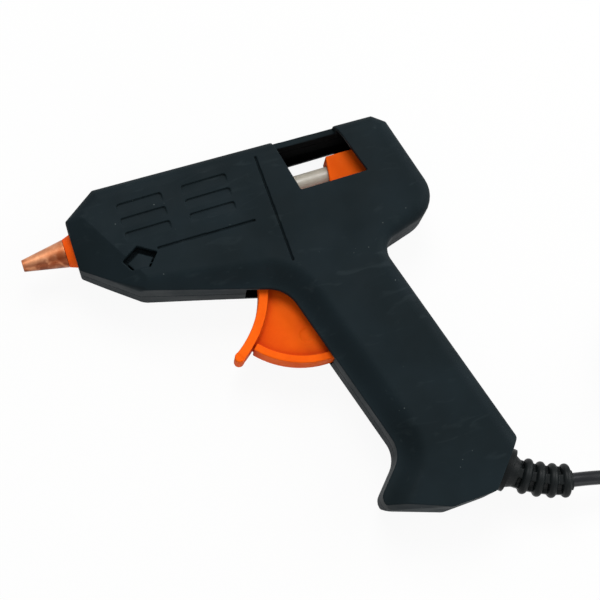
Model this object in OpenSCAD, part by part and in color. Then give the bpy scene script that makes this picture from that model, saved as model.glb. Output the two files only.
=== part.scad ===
// Mini hot-melt glue gun, lying on its right side with the mains lead coiled behind the grip.
// X runs back along the barrel, Y is the gun's own up, Z is up from the table.
// The origin lies on the table under the barrel axis, at the panel seam.

/* [Casing] */
// Thickness across both shells
casing_t = 27; // [26:0.5:32]
// Wall of the moulded shells
wall = 2.2; // [1.8:0.1:2.6]
// Rounding of the long outer edges
edge_r = 5; // [3:0.5:6]
// Width of the soft cove along the belly and the grip's front
cove_w = 10; // [8:0.5:11]
// Depth of the soft cove
cove_d = 4.6; // [3:0.2:5]
// Inset of the side face at the toe's tip
toe_wedge = 2.2; // [1:0.1:3]
// Nose face ahead of the origin
nose_x = 73; // [71:0.2:74]
// Top of the nose face above the barrel axis
nose_up = 8.6; // [8.5:0.1:10]
// Bottom of the nose face below the barrel axis
nose_down = 8.9; // [8.2:0.1:10]
// Front end of the top line ahead of the origin
shoulder_x = 61; // [58:0.2:64]
// Height of the front end of the top line
shoulder_up = 16.8; // [16.5:0.1:19]
// Rear end of the top line behind the origin
rear_x = 45; // [44:0.2:48]
// Height of the rear end of the top line
rear_up = 14.4; // [14:0.1:16]
// Cut of the rear top corner along both its sides
rear_cut = 3.6; // [2.5:0.1:4.5]
// Front end of the belly line ahead of the origin
chin_x = 55.2; // [53:0.2:58]
// Front end of the belly line below the barrel axis
chin_down = 22.6; // [22:0.1:25]
// Slope of the belly line in degrees
belly_slope = 15.4; // [14.5:0.1:16.5]
// Corner of the rear beak behind the origin
beak_x = 55.5; // [54:0.1:58]
// Corner of the rear beak below the barrel axis
beak_down = 23.6; // [22:0.1:25]
// Slope of the beak's underside in degrees
beak_slope = 16.5; // [15:0.5:19]
// Where the nose bevel starts, ahead of the origin
bevel_x = 65.2; // [62:0.1:66]
// Height of that start of the bevel
bevel_y = 4.7; // [2:0.1:6]
// Lean of the bevel's crease in degrees
bevel_lean = 60; // [50:1:70]
// Fall of the nose bevel in degrees
bevel_fall = 23; // [15:1:25]

/* [Grip] */
// Rake of the grip in degrees
grip_rake = 16.9; // [15.5:0.1:17]
// Depth of the grip from front to back
grip_depth = 36.3; // [35:0.1:38.5]
// Front line of the grip at the trigger pivot's height, behind the origin
grip_front_x = -7.9; // [-9:0.1:-7]
// Lowest corner of the heel below the barrel axis
heel_down = 125.8; // [124:0.1:130]
// Lowest corner of the heel behind the origin
heel_x = 24.5; // [21:0.5:26]
// Rise of the sole towards the toe in degrees
sole_rise = 16.3; // [14:0.1:18]
// Rise of the sole towards the cord in degrees
heel_rise = 2.4; // [2:0.1:6]
// Rear end of the sole behind the origin
heel_rear_x = 40.6; // [40:0.1:42]
// Tip of the toe along X
toe_x = -0.5; // [-1.5:0.1:1]
// Slope of the toe's upper edge in degrees
toe_slope = 48; // [45:0.5:52]

/* [Window and side details] */
// Front top corner of the viewing window behind the origin
window_front_x = 4.8; // [4.5:0.1:7]
// Rear top corner of the viewing window behind the origin
window_rear_x = 27.9; // [26.5:0.1:29.5]
// Top edge of the right side's window above the barrel axis
window_up = 10.5; // [9:0.1:11]
// Depth of the left side's window notch across the top edge
window_notch = 6.7; // [5.5:0.1:8]
// Bottom edge of the window below the barrel axis
window_down = 5; // [5:0.1:6.4]
// Lean of the window's front edge in degrees
window_front_lean = 13; // [6:0.2:14]
// Lean of the window's rear edge in degrees
window_rear_lean = 17.5; // [12:0.5:20]
// Length of a vent louvre
vent_len = 16.4; // [14:0.2:18]
// Height of a vent louvre
vent_h = 3.4; // [2.6:0.1:4]
// Depth of a vent louvre at its upper edge
vent_d = 0.9; // [0.5:0.1:1.2]
// Spacing of the louvres in a group
vent_pitch = 5.2; // [4:0.1:5.6]
// Front end of the front group ahead of the origin
vent_front_x = 54.7; // [52:0.1:55]
// Front end of the rear group ahead of the origin
vent_rear_x = 31.3; // [29:0.1:32]
// Upper louvre above the barrel axis
vent_up = 8.4; // [7:0.1:9]
// Width of the panel seam and of the side line
seam_w = 0.8; // [0.4:0.1:1]
// Depth of the panel seam and of the side line
seam_d = 0.8; // [0.3:0.1:0.8]
// Depth of the stand pocket
pocket_d = 4; // [3:0.1:4.2]

/* [Nozzle and heater] */
// Reach of the nozzle tip ahead of the origin
nozzle_tip_x = 91.4; // [89:0.2:94]
// Front face of the heat collar, where the nozzle's cone starts
nozzle_root_x = 75.8; // [75.6:0.1:77]
// Radius of the nozzle tip
nozzle_tip_r = 2.1; // [1.7:0.05:2.4]
// Radius of the nozzle's cone at its root
nozzle_root_r = 5.05; // [4.8:0.01:5.2]
// Radius of the glue orifice
orifice_r = 0.8; // [0.5:0.05:1]
// Radius of the nozzle's screwed spigot
spigot_r = 2.8; // [2.4:0.1:3.2]
// Length of the nozzle's screwed spigot
spigot_len = 9; // [7:0.5:10]
// Radius of the heat collar in the nose hole
collar_r = 6.05; // [5.9:0.05:6.4]
// Radius of the collar's flange inside the nose
collar_flange_r = 7.5; // [7:0.1:8]
// Radius of the melt chamber
chamber_r = 7; // [6.6:0.1:7.2]
// Radius of the chamber's front neck
neck_r = 4.6; // [4.4:0.05:4.8]
// Radius of the chamber's rear neck
tail_r = 5; // [4.8:0.1:5.2]
// Front shoulder of the chamber ahead of the origin
chamber_front_x = 64; // [63:0.5:65]
// Rear shoulder of the chamber ahead of the origin
chamber_rear_x = 28; // [27.8:0.1:29]
// Length of the chamber's rear neck
tail_len = 12; // [9:0.5:14]
// Height of the heater slot under the chamber
heater_h = 3.7; // [3.6:0.05:4]
// Half width of the heater block under the chamber
heater_half = 6.5; // [6.2:0.1:6.7]
// Wall of the heater block
heater_wall = 1.3; // [1.1:0.1:1.5]
// Length of the heater block
heater_len = 28; // [26:0.5:30]
// Thickness of the heater chip
chip_t = 2.4; // [2:0.1:2.4]
// Length of the heater chip
chip_len = 22; // [18:0.5:24]
// Thickness of an electrode plate
plate_t = 0.3; // [0.2:0.05:0.3]
// Thickness of the insulating film
film_t = 0.25; // [0.15:0.05:0.25]
// Outer radius of the silicone inlet sleeve
sleeve_r = 6.5; // [6.2:0.1:6.6]
// Length of the inlet sleeve
sleeve_len = 18; // [16:0.5:20]
// Wire radius of the sleeve clip
clip_wire_r = 0.5; // [0.3:0.05:0.5]

/* [Glue feed] */
// Radius of the glue stick
stick_r = 3.5; // [3.3:0.05:3.55]
// Length of the glue stick
stick_len = 78; // [70:0.5:80]
// Rear end of the glue stick behind the origin
stick_rear_x = 36; // [34:0.2:37]
// Radius of the stick inlet in the rear wall
inlet_r = 5.2; // [4.8:0.1:5.4]
// Front face of the carriage block behind the origin
block_front_x = 21.9; // [20:0.1:24]
// Length of the carriage block
block_len = 13; // [11:0.5:14]
// Top of the carriage block above the barrel axis
block_up = 5.8; // [5.2:0.1:6.2]
// Half width of the carriage block
block_half = 5.8; // [5.2:0.1:6.2]
// Lean of the carriage block's front face in degrees
block_lean = -8; // [-14:1:10]
// Top of the carriage sled below the barrel axis
sled_top = 7; // [6.9:0.05:7.2]
// Height of the carriage sled
sled_h = 6.4; // [6:0.1:6.6]
// Half width of the carriage sled
sled_half = 6.5; // [6:0.1:7]
// Front end of the sled ahead of the origin
sled_front_x = 2; // [1.5:0.1:3]
// Radius of the sled's cross pin
cross_pin_r = 1.5; // [1.3:0.05:1.6]
// Radius of the star washer
washer_r = 5.2; // [5:0.05:5.3]
// Thickness of the star washer
washer_t = 0.8; // [0.5:0.1:1]
// Coil radius of the return spring
spring_r = 2; // [1.8:0.05:2.05]
// Wire radius of the return spring
spring_wire_r = 0.4; // [0.3:0.05:0.45]
// Turns of the return spring
spring_turns = 9; // [6:1:11]

/* [Trigger] */
// Trigger pivot behind the origin
pivot_x = 1; // [0.5:0.1:1.5]
// Trigger pivot below the barrel axis
pivot_down = 31; // [30.5:0.1:31.5]
// Swing of the trigger in degrees
trigger_swing = 22; // [18:0.5:23]
// Width of the trigger
trigger_w = 12; // [11:0.2:12.2]
// Thickness of the trigger's bottom wall
trigger_wall = 2.6; // [2:0.1:3]
// Thickness of the trigger's finger wall
finger_wall = 3.3; // [2.8:0.1:3.8]
// Thickness of the trigger's web
trigger_web = 6.6; // [4:0.2:7.6]
// Outer radius of the trigger's bottom wall about the pivot
trigger_r = 33.0; // [32.4:0.05:33.6]
// Radius of the concave finger face
finger_r = 35.1; // [34:0.1:36]
// Radius of the lip at the trigger's tip
lip_r = 1.85; // [1.5:0.05:2.2]
// Radius of the trigger's hub
hub_r = 4.2; // [3.8:0.1:4.4]
// Radius of the trunnions
trunnion_r = 2.3; // [1.8:0.05:2.5]
// Length of a trunnion
trunnion_len = 4; // [3:0.1:4.2]
// Offset of the cross pin behind the pivot at rest
arm_lead = 6.3; // [5.6:0.1:6.6]
// Thickness of the trigger's arm
arm_t = 4.8; // [4:0.1:5]

/* [Fasteners] */
// Radius of a housing screw's shank
screw_r = 1.45; // [1.2:0.05:1.5]
// Length of a housing screw's shank
screw_len = 15; // [12:0.5:16]
// Radius of a screw head
head_r = 2.6; // [2.2:0.1:2.7]
// Height of a screw head
head_h = 1.8; // [1.4:0.1:2.2]
// Depth of the head's seat below the right side face
seat_d = 5; // [4:0.1:6]
// Radius of a plain post in the left shell
post_r = 3.2; // [2.8:0.1:3.4]
// Wall of a counterbored post in the right shell
well_wall = 1.4; // [1.2:0.1:1.6]
// Radius of a clamp screw's shank
clamp_screw_r = 1.1; // [0.9:0.05:1.3]

/* [Mains lead] */
// Diameter of the mains lead
cord_d = 5; // [4.8:0.05:5.2]
// Radius of the strain relief's base collar
relief_collar_r = 7.8; // [7:0.1:8]
// Radius of the strain relief's first rib
relief_rib_r = 6.4; // [5.8:0.1:6.6]
// Radius of the strain relief's last rib
relief_end_r = 6; // [5.2:0.05:6.2]
// Thickness of a rib
relief_rib_t = 3.2; // [2.6:0.1:3.4]
// Spacing of the ribs
relief_pitch = 4.7; // [4.4:0.1:4.9]
// First rib beyond the base collar
relief_first = 5.9; // [5.6:0.1:6.2]
// Bend of the strain relief in degrees
relief_bend = 28.5; // [20:0.5:32]
// Length of the bent part of the strain relief
relief_len = 22.6; // [22.2:0.1:24]
// Length of sheathed lead inside the grip
tail_inside = 19; // [17:0.5:20]
// Radius of the coil's innermost turn
coil_inner_r = 20.5; // [20:0.5:24]
// Step between neighbouring turns and layers of the coil
coil_pitch = 5.5; // [5.45:0.05:6]
// Width of the cord tie
tie_w = 6; // [3:0.5:9]
// Thickness of the cord tie
tie_t = 0.8; // [0.5:0.1:1.2]

/* [Plug] */
// Width of the plug body
plug_w = 35.3; // [33:0.1:36]
// Thickness of the plug body
plug_t = 13.7; // [13:0.1:15]
// Length of the plug body
plug_len = 35; // [32:0.5:38]
// Length of the plug's cord boot
boot_len = 14; // [10:0.5:18]
// Radius of a plug pin
pin_r = 2; // [1.9:0.05:2.4]
// Length of a plug pin outside the body
pin_len = 19; // [18:0.5:19.5]
// Length of the insulating sleeve on a pin
pin_sleeve = 10; // [8:0.5:11]
// Step from a bare pin tip in to its sleeve
sleeve_step = 0.25; // [0.2:0.05:0.3]
// Spacing of the two pins
pin_pitch = 18.6; // [17.5:0.1:19]

/* [Fits] */
// Clearance of seats and fixed inserts
fit = 0.05; // [0.02:0.01:0.08]
// Clearance of sliding and swinging parts
run = 0.4; // [0.3:0.05:0.5]

/* [Hidden] */
$fn = 48;
zm = casing_t / 2;
past = 1;
far = 60;

// Plane geometry
function dir(a) = [cos(a), sin(a)];
function heading(v) = atan2(v.y, v.x);
function cross2(a, b) = a.x * b.y - a.y * b.x;
function meet(p, a, q, b) = p + dir(a) * cross2(q - p, dir(b)) / cross2(dir(a), dir(b));
function turn(a, b, c) = atan2(cross2(b - a, c - b), (b - a) * (c - b));
function spot(p, z) = [p.x, p.y, z];

// Corners of the casing outline, in order round the body with its inside on the left
pivot = [pivot_x, -pivot_down];
front_line = [grip_front_x, -pivot_down];
front_a = grip_rake - 90;
back_line = front_line + [grip_depth / cos(grip_rake), 0];
chin = [-chin_x, -chin_down];
crotch = meet(chin, -belly_slope, front_line, front_a);
heel = [heel_x, -heel_down];
toe = [toe_x, -heel_down + (heel_x - toe_x) * tan(sole_rise)];
toe_in = meet(toe, toe_slope, front_line, front_a);
heel_rear = [heel_rear_x, -heel_down + (heel_rear_x - heel_x) * tan(heel_rise)];
relief_a = -40;
back_low = meet(heel_rear, relief_a + 90, back_line, front_a);
beak = [beak_x, -beak_down];
neck = meet(beak, beak_slope, back_line, front_a);
rear_top = [rear_x, rear_up];
shoulder = [-shoulder_x, shoulder_up];
corners = [
  chin, crotch, toe_in, toe, heel, heel_rear, back_low, neck, beak,
  rear_top - rear_cut * dir(heading(rear_top - beak)), rear_top + rear_cut * dir(heading(shoulder - rear_top)),
  shoulder, [-nose_x, nose_up], [-nose_x, -nose_down]
];
radii = [1.5, 12, 10, 4, 6, 2, 2.5, 6, 11, 3, 3, 2, 1.2, 1.2];
corner_n = len(corners);
GRIP_RUN = [1, 3];
GRIP_ROUND = [1, 2];
SOLE = 3;
BACK_RUN = [6, 14];
BACK_ROUND = [7, 8];
RUN_ON = 14;

function corner(i) = corners[(i + corner_n) % corner_n];
function corner_turn(i) = turn(corner(i - 1), corner(i), corner(i + 1));
function side_a(i) = heading(corner(i + 1) - corner(i));
function drawn_in(i, o) =
  meet(corner(i) + o * dir(side_a(i - 1) + 90), side_a(i - 1),
       corner(i) + o * dir(side_a(i) + 90), side_a(i));
function corner_r(i, o) =
  let (r = radii[(i + corner_n) % corner_n])
  corner_turn(i) > 0 ? max(r - o, 0.3) : r + o;
function tangent(i, o) = corner_r(i, o) * tan(abs(corner_turn(i)) / 2);
function arc_centre(i, o) =
  drawn_in(i, o) - dir(side_a(i - 1)) * tangent(i, o)
  + dir(side_a(i - 1) + sign(corner_turn(i)) * 90) * corner_r(i, o);
ARC_STEPS = 8;
function outline(o) = [
  for (i = [0:corner_n - 1], k = [0:ARC_STEPS])
    let (t = corner_turn(i))
    arc_centre(i, o)
    + corner_r(i, o) * dir(side_a(i - 1) - sign(t) * 90 + t * k / ARC_STEPS)
];

// Points along a run of the outline, drawn in by o: rounded corners as arcs, the others sharp
function corner_path(i, rounded, o) =
  let (t = corner_turn(i))
  len(search(i, rounded)) == 0 ? [drawn_in(i, o)] : [
    for (k = [0:ARC_STEPS])
      arc_centre(i, o) + corner_r(i, o) * dir(side_a(i - 1) - sign(t) * 90 + t * k / ARC_STEPS)
  ];
function run_path(span, rounded, o) = [for (i = [span[0]:span[1]]) each corner_path(i, rounded, o)];
function drawn_on(p, by) =
  let (n = len(p) - 1)
  concat([p[0] - by * dir(heading(p[1] - p[0]))], [for (k = [1:n - 1]) p[k]],
    [p[n] + by * dir(heading(p[n] - p[n - 1]))]);

// Inward direction at a path's point that keeps both neighbouring stretches parallel
function inward(p, i) =
  let (n = len(p) - 1)
  let (a = dir(heading(p[max(i, 1)] - p[max(i, 1) - 1]) + 90))
  let (b = dir(heading(p[min(i, n - 1) + 1] - p[min(i, n - 1)]) + 90))
  (a + b) / (1 + a * b);

// Sweeps a profile of inward reach and depth along a path, mitred at each point
module sweep(path, profile) {
  n = len(profile);
  last = len(path) - 1;
  polyhedron(
    points = [for (i = [0:last], q = profile) spot(path[i] + q.x * inward(path, i), q.y)],
    faces = concat(
      [for (i = [0:last - 1], k = [0:n - 1])
        [i * n + k, (i + 1) * n + k, (i + 1) * n + (k + 1) % n, i * n + (k + 1) % n]],
      [[for (k = [0:n - 1]) k], [for (k = [0:n - 1]) last * n + n - 1 - k]]
    ));
}

// Profile of what a rounded edge removes, its end chords drawn on past both faces
function edge_point(r, k) = [r, r] + r * dir(270 - 90 * k / ARC_STEPS);
function edge_profile(r) =
  let (first = edge_point(r, 0) + 0.15 * (edge_point(r, 0) - edge_point(r, 1)))
  let (last = edge_point(r, ARC_STEPS) + 0.15 * (edge_point(r, ARC_STEPS) - edge_point(r, ARC_STEPS - 1)))
  concat([[-past, -past], [first.x, -past], first],
    [for (k = [1:ARC_STEPS - 1]) edge_point(r, k)], [last, [-past, last.y]]);

// Profile of what the soft cove removes, o proud of it: it leaves the face and reaches the edge level
COVE_STEPS = 10;
COVE_OUT = 5;
function cove_point(o, k) =
  [(cove_w + o) * (1 - k / COVE_STEPS), (cove_d + o) * (1 - cos(180 * k / COVE_STEPS)) / 2];
function cove_profile(o) =
  let (first = cove_point(o, 0) + 0.15 * (cove_point(o, 0) - cove_point(o, 1)))
  concat([[-COVE_OUT, -past], [first.x, -past], first],
    [for (k = [1:COVE_STEPS]) cove_point(o, k)], [[-COVE_OUT, cove_d + o]]);

// The cove comes in along the belly from nothing at the chin, then keeps its width down to the toe
BELLY_IN = 6.4;
BELLY_BACK = 8;
cove_path = concat(
  [chin - BELLY_BACK * dir(side_a(0)) - BELLY_IN * dir(side_a(0) + 90)],
  run_path(GRIP_RUN, GRIP_ROUND, 0)
);

// The toe's underside leans in towards the face, from nothing at the heel
module toe_slant(o) {
  len_in = norm(heel - toe);
  translate(spot(heel, casing_t)) rotate([0, 0, side_a(SOLE) + 180 - atan(toe_wedge / len_in)])
    rotate([atan(toe_wedge / zm), 0, 0]) translate([-far, -o, -far]) cube([2 * far, far, 2 * far]);
}

// Upper half of the casing as a full body, drawn in by o
module half_body(o, low) {
  difference() {
    translate([0, 0, zm - low]) linear_extrude(zm - o + low) polygon(outline(o));
    translate([0, 0, casing_t - o]) mirror([0, 0, 1])
      sweep(drawn_on(run_path(BACK_RUN, BACK_ROUND, o), RUN_ON), edge_profile(edge_r - o));
    translate([0, 0, casing_t]) mirror([0, 0, 1])
      sweep(drawn_on(cove_path, edge_r), cove_profile(o));
    toe_slant(o);
    translate([-bevel_x, bevel_y, casing_t - o / cos(bevel_fall)])
      rotate([0, 0, -bevel_lean - 90]) rotate([0, bevel_fall, 0]) translate([0, -far, 0])
        cube([far, 2 * far, far]);
  }
}

// Turns what is drawn for the upper, left shell over to the lower, right shell
module lower_side() {
  translate([0, 0, casing_t]) mirror([0, 0, 1]) children();
}

// A cylinder along the barrel between two stations
module barrel(x0, x1, r0, r1) {
  translate([x0, 0, zm]) rotate([0, 90, 0]) cylinder(h = x1 - x0, r1 = r0, r2 = r1);
}

// A block between two stations, two heights and up to a half width each side of the middle
module block(x0, x1, y0, y1, half) {
  translate([x0, y0, zm - half]) cube([x1 - x0, y1 - y0, 2 * half]);
}

// A curved bar of rectangular section about a centre, w wide across the middle plane
module bow(c, r0, r1, a0, a1, w) {
  translate(spot(c, zm)) rotate([0, 0, a0]) rotate_extrude(angle = a1 - a0)
    translate([r0, -w / 2]) square([r1 - r0, w]);
}

// Mould details of the sides
POCKET = [[-51.9, -7.6], [-45.6, -11.6], [-49.4, -16.1], [-55.6, -15.5], [-58.2, -11.3]];
POCKET_MID = [-51.6, -12];
ISLAND_LOW = [-52.4, -16.6];
ISLAND_FALL = 6;
SEAM_TOP = [-3.1, 11.2];
SEAM_END = [-1.6, -28.4];
LINE_FRONT = [-45.4, -10.5];
LINE_END = [-9.8, -10.8];

module groove(a, b) {
  translate(spot(a, casing_t - seam_d)) rotate([0, 0, heading(b - a)]) translate([0, -seam_w / 2, 0])
    cube([norm(b - a), seam_w, seam_d + past]);
}

// A louvre is deepest along its upper edge, and its floor rises to the face below; its upper corners are round
VENT_ROUND = 1;
module vent_louvre(x, y) {
  translate([x, y, casing_t]) intersection() {
    translate([0, 0, -2 * vent_d]) linear_extrude(2 * vent_d + past) {
      translate([0, -vent_h]) square([vent_len, vent_h - VENT_ROUND]);
      translate([VENT_ROUND, -vent_h]) square([vent_len - 2 * VENT_ROUND, vent_h]);
      for (u = [VENT_ROUND, vent_len - VENT_ROUND])
        translate([u, -VENT_ROUND]) circle(VENT_ROUND);
    }
    translate([-past, 0, 0]) rotate([90, 0, 90]) linear_extrude(vent_len + 2 * past)
      polygon([
        [past, 2 * past], [past, -vent_d - past * vent_d / vent_h], [-vent_h, 0], [-vent_h, 2 * past]
      ]);
  }
}

module side_details() {
  groove(SEAM_TOP, SEAM_END);
  groove(LINE_FRONT, LINE_END);
  for (x = [-vent_front_x, -vent_rear_x], k = [0:2])
    vent_louvre(x, vent_up - k * vent_pitch);
  stand_pocket();
}

// The stand's pocket: a slot on three sides of a slanted island
module stand_pocket() {
  difference() {
    translate([0, 0, casing_t - pocket_d]) linear_extrude(pocket_d + past) polygon(POCKET);
    difference() {
      translate([0, 0, casing_t - far / 6]) linear_extrude(far / 6)
        translate(ISLAND_LOW) scale(0.72) translate(-ISLAND_LOW) polygon(POCKET);
      translate(spot(ISLAND_LOW, casing_t - 0.3)) rotate([-ISLAND_FALL, 0, 0])
        translate([-far / 2, -far / 6, 0]) cube([far, far, far / 3]);
    }
  }
}

// Outline of the viewing window up to a height above the barrel axis
module window_shape(up) {
  front = tan(window_front_lean);
  rear = tan(window_rear_lean);
  polygon([
    [window_front_x + (12.5 - up) * front, up], [window_front_x + (12.5 + window_down) * front, -window_down],
    [window_rear_x + (12.5 + window_down) * rear, -window_down], [window_rear_x + (12.5 - up) * rear, up]
  ]);
}

// Sizes of the inner works that several pieces share
rib_t = 2;
front_rib_x = -60;
tail_rib_x = -chamber_rear_x;
sleeve_x = -chamber_rear_x + 4;
sleeve_seat = tail_len - 4;
rail_front_x = 14;
rail_t = 2.3;
arm_h = pivot_down - sled_top - sled_h / 2;
pin_rest = [pivot_x + arm_lead, -sled_top - sled_h / 2];
rest_a = atan(arm_lead / arm_h);
stroke = arm_lead - arm_h * tan(rest_a - trigger_swing);
slot_half = trigger_w / 2 + run;
slot_front_x = -19.5;
heater_top = -chamber_r - 0.9;
heater_mid = heater_top - heater_h / 2;
SCREWS = [[-50, 12], [-24, -19], [27, -64], [22, -114], [42, -14]];
well_r = head_r + run;

// Relief axis: straight through the wall, then bent towards the cord
RELIEF_COLLAR = 2.9;
relief_in = wall + 0.5;
relief_flange = 2.4;
relief_mid = (heel_rear + back_low) / 2 - 0.4 * dir(relief_a + 90);
relief_root = relief_mid + (RELIEF_COLLAR + 0.1) * dir(relief_a);
relief_bend_r = relief_len / (relief_bend * PI / 180);
relief_centre = relief_root + relief_bend_r * dir(relief_a + 90);
function relief_at(s) = relief_centre + relief_bend_r * dir(relief_a - 90 + s / relief_len * relief_bend);
cord_out_a = relief_a + relief_bend;
tail_start = -(RELIEF_COLLAR + relief_in + relief_flange);
clamp_s = tail_start - 9;
clamp_reach = 6;

// Places children along the relief's straight inner axis, with X outwards
module on_relief(s) {
  translate(spot(relief_root + s * dir(relief_a), zm)) rotate([0, 0, relief_a]) children();
}

// Ribs, rails and bosses moulded inside both shells
module inner_ribs() {
  block(front_rib_x, front_rib_x + rib_t, -chamber_r - 3, chamber_r + 3, far);
  block(tail_rib_x, tail_rib_x + rib_t, -chamber_r, chamber_r + 3, far);
  block(tail_rib_x, tail_rib_x + rib_t, -sled_top - sled_h, 0, spring_r + 0.3);
  difference() {
    block(rail_front_x, far, -sled_top - sled_h - run - rail_t, -sled_top - sled_h - run / 2, far);
    block(rail_front_x - past, far, -far, far, 3);
  }
  translate(spot(pivot, zm + slot_half)) cylinder(h = zm, r = trunnion_r + 2.3);
  translate([0, 0, casing_t - pocket_d - wall]) linear_extrude(far)
    translate(POCKET_MID) scale(1.35) translate(-POCKET_MID) polygon(POCKET);
  on_relief(tail_start - rib_t - 0.3) translate([0, -relief_collar_r, 0]) cube([rib_t, 2 * relief_collar_r, zm]);
}

// Everything that passes through the shells or turns in them
module shell_cuts() {
  barrel(-nose_x - far, -nose_x + far / 10, collar_r + fit * 2, collar_r + fit * 2);
  barrel(-nose_x + wall, -chamber_front_x, collar_flange_r + run, collar_flange_r + run);
  barrel(-chamber_front_x, tail_rib_x, chamber_r + fit, chamber_r + fit);
  barrel(tail_rib_x - past, far / 2, tail_r + fit, tail_r + fit);
  block(-chamber_rear_x - 2 - heater_len - run, tail_rib_x, heater_top - heater_h - heater_wall - run, 0, heater_half + run);
  barrel(rear_x - 2, rear_x + far / 3, inlet_r, inlet_r);
  translate([0, 0, zm - slot_half]) linear_extrude(2 * slot_half) intersection() {
    translate(pivot) circle(trigger_r + run);
    polygon([[slot_front_x, -24], [slot_front_x, -far - 20], [12, -far - 20], [9, -40], [6.5, -24]]);
  }
  translate(spot(pivot, zm)) cylinder(h = trigger_w / 2 + trunnion_len + run, r = trunnion_r + fit);
  on_relief(-RELIEF_COLLAR - wall - past) rotate([0, 90, 0]) cylinder(h = far / 3, r = relief_neck_r + fit);
  on_relief(tail_start - far / 6) rotate([0, 90, 0]) cylinder(h = far / 6, r = cord_d / 2 + run);
}
relief_neck_r = 4.5;

// One shell with all that both have in common, drawn as the upper one
module shell_half() {
  difference() {
    union() {
      difference() {
        half_body(0, 0);
        half_body(wall, past);
      }
      intersection() {
        half_body(wall / 2, 0);
        inner_ribs();
      }
    }
    shell_cuts();
    side_details();
  }
}

module left_shell() color([0.13, 0.16, 0.18]) {
  difference() {
    union() {
      shell_half();
      for (p = SCREWS)
        translate(spot(p, zm)) cylinder(h = zm - wall / 2, r = post_r);
    }
    translate([0, 0, casing_t - window_notch]) linear_extrude(far) window_shape(rear_up + 5);
    for (p = SCREWS)
      translate(spot(p, zm - past)) cylinder(h = seat_d + screw_len - zm + 2 * past, r = screw_r);
  }
}

module right_shell() color([0.13, 0.16, 0.18]) {
  difference() {
    union() {
      lower_side() shell_half();
      for (p = SCREWS)
        translate(spot(p, wall / 2)) cylinder(h = zm - wall / 2, r = well_r + well_wall);
      for (t = [-1, 1])
        on_relief(clamp_s) translate([0, t * clamp_reach, wall / 2 - zm])
          cylinder(h = zm - wall / 2 + cord_d / 2, r = clamp_screw_r + 1.5);
      on_relief(clamp_s) translate([-rib_t / 2, -clamp_reach, wall / 2 - zm])
        cube([rib_t, 2 * clamp_reach, zm - wall / 2 - cord_d / 2]);
    }
    translate([0, 0, -past]) linear_extrude(zm) window_shape(window_up);
    for (p = SCREWS) {
      translate(spot(p, -past)) cylinder(h = seat_d + past, r = well_r);
      translate(spot(p, 0)) cylinder(h = casing_t, r = screw_r + run / 2);
    }
    for (t = [-1, 1])
      on_relief(clamp_s) translate([0, t * clamp_reach, -zm / 2])
        cylinder(h = zm, r = clamp_screw_r);
  }
}

module nozzle() color([0.78, 0.5, 0.36]) difference() {
  union() {
    barrel(-nozzle_tip_x, -nozzle_root_x, nozzle_tip_r, nozzle_root_r);
    barrel(-nozzle_root_x, -nozzle_root_x + spigot_len, spigot_r, spigot_r);
  }
  barrel(-nozzle_tip_x - past, -nozzle_root_x + spigot_len + past, orifice_r, orifice_r);
  barrel(-nozzle_tip_x + 4, -nozzle_root_x + spigot_len + past, 2 * orifice_r, 2 * orifice_r);
}

module nozzle_collar() color([0.93, 0.36, 0.1]) difference() {
  union() {
    barrel(-nozzle_root_x, -nose_x, nozzle_root_r, collar_r);
    barrel(-nose_x, -nose_x + wall + run / 2, collar_r, collar_r);
    barrel(-nose_x + wall + run / 2, -chamber_front_x - fit, collar_flange_r, collar_flange_r);
  }
  barrel(-far * 2, 0, neck_r + fit, neck_r + fit);
}

module melt_chamber() color([0.72, 0.74, 0.76]) difference() {
  union() {
    barrel(-nozzle_root_x + fit, -chamber_front_x, neck_r, neck_r);
    barrel(-chamber_front_x, -chamber_rear_x, chamber_r, chamber_r);
    barrel(-chamber_rear_x, -chamber_rear_x + tail_len, tail_r, tail_r);
    block(-chamber_rear_x - 2 - heater_len, -chamber_rear_x - 2, heater_top - heater_h - heater_wall, 0, heater_half);
  }
  barrel(-far * 2, -nozzle_root_x + spigot_len + fit, spigot_r + fit, spigot_r + fit);
  barrel(-far * 2, 0, 2 * orifice_r, 2 * orifice_r);
  barrel(-chamber_rear_x - 30, -chamber_rear_x - 25, 2 * orifice_r, stick_r + 0.25);
  barrel(-chamber_rear_x - 25, 0, stick_r + 0.25, stick_r + 0.25);
  block(-chamber_rear_x - 3 - heater_len, 0, heater_top - heater_h, heater_top, heater_half - heater_wall);
}

// The heater stack, from a middle plane outwards
chip_half = heater_half - heater_wall - 0.7;
chip_front_x = -chamber_rear_x - heater_len;
plate_y = chip_t / 2;
tab_half = 0.8;
tab_z = zm - chip_half + tab_half;
tab_end_x = -chamber_rear_x + 1;
crimp_len = 4;
crimp_r = 1.1;

module ptc_heater() color([0.3, 0.3, 0.32])
  block(chip_front_x, chip_front_x + chip_len, heater_mid - chip_t / 2, heater_mid + chip_t / 2, chip_half);

module heater_electrodes() color([0.75, 0.76, 0.78])
  for (y = [heater_mid + plate_y, heater_mid - plate_y - plate_t]) {
    block(chip_front_x - 0.5, -chamber_rear_x - 3, y, y + plate_t, chip_half);
    translate([-chamber_rear_x - 4, y, tab_z - tab_half]) cube([tab_end_x + chamber_rear_x + 4, plate_t, 2 * tab_half]);
  }

module heater_film() color([0.75, 0.5, 0.15]) difference() {
  stack = chip_t / 2 + plate_t;
  block(chip_front_x - 1, -chamber_rear_x - 2.4, heater_mid - stack - film_t, heater_mid + stack + film_t,
    chip_half + fit + film_t);
  block(chip_front_x - 2, 0, heater_mid - stack, heater_mid + stack, chip_half + fit);
}

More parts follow.
